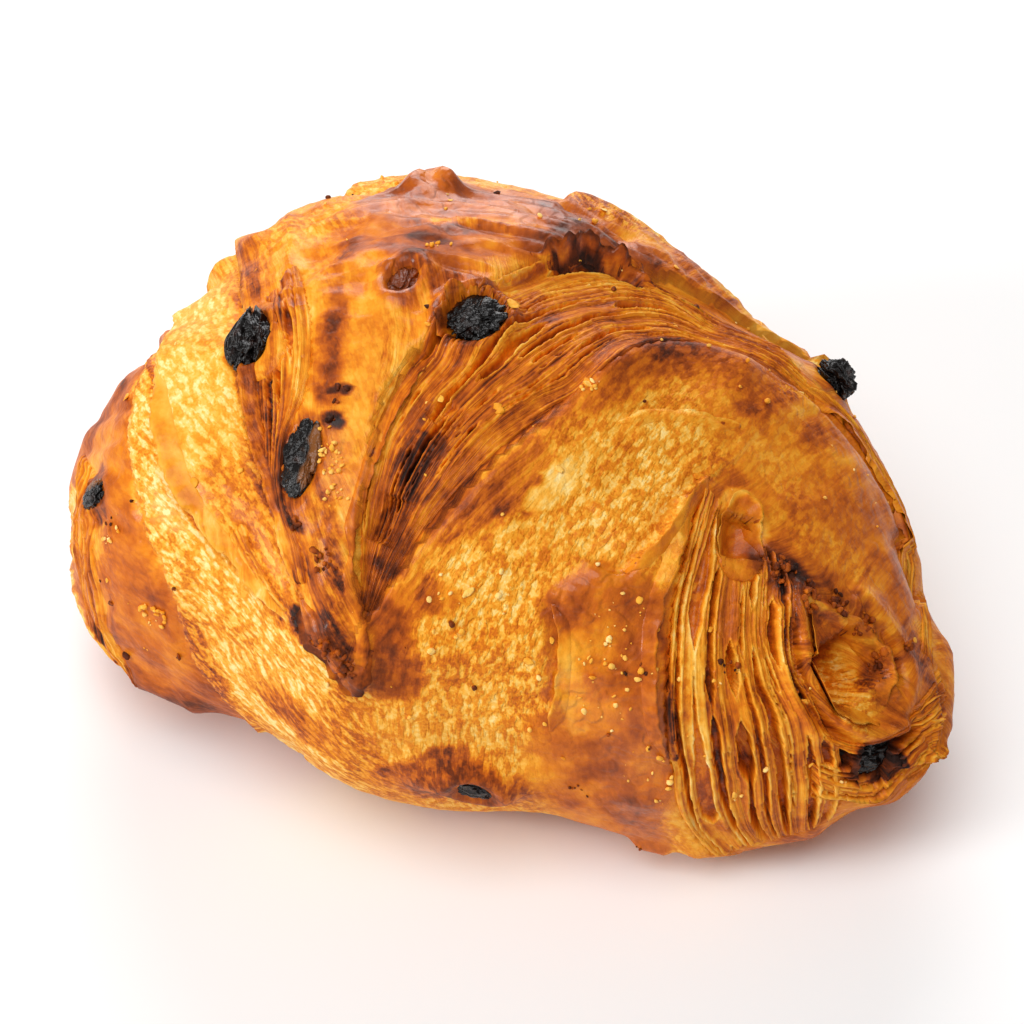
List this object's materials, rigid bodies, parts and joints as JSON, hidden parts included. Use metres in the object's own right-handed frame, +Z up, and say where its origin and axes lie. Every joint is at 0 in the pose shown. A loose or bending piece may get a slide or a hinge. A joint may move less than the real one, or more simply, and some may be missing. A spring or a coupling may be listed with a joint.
{
  "type": "raisin butter bun",
  "caption": "Plump rolled bun of laminated butter dough with raisins, a folded tongue, flaky cut layers and a coiled end; rests on a flat underside.",
  "frame": {"origin": "centre of the footprint box, on the surface that the bun rests on", "axes": "+X along the roll towards the cut, coiled end; +Z up; the tongue's tip faces -Y"},
  "size_m": [0.14, 0.1032, 0.0794],
  "materials": {
    "crust": "golden to brown baked crust, glossy where glazed, with pale mottled bands and thin flaky layer edges",
    "raisin": "wrinkled, nearly black, slightly shiny"
  },
  "bodies": {
    "root": {"bun": "crust", "raisin_1": "raisin", "raisin_2": "raisin", "raisin_3": "raisin", "raisin_4": "raisin", "raisin_5": "raisin", "raisin_6": "raisin", "raisin_7": "raisin", "raisin_8": "raisin"}
  },
  "joints": []
}
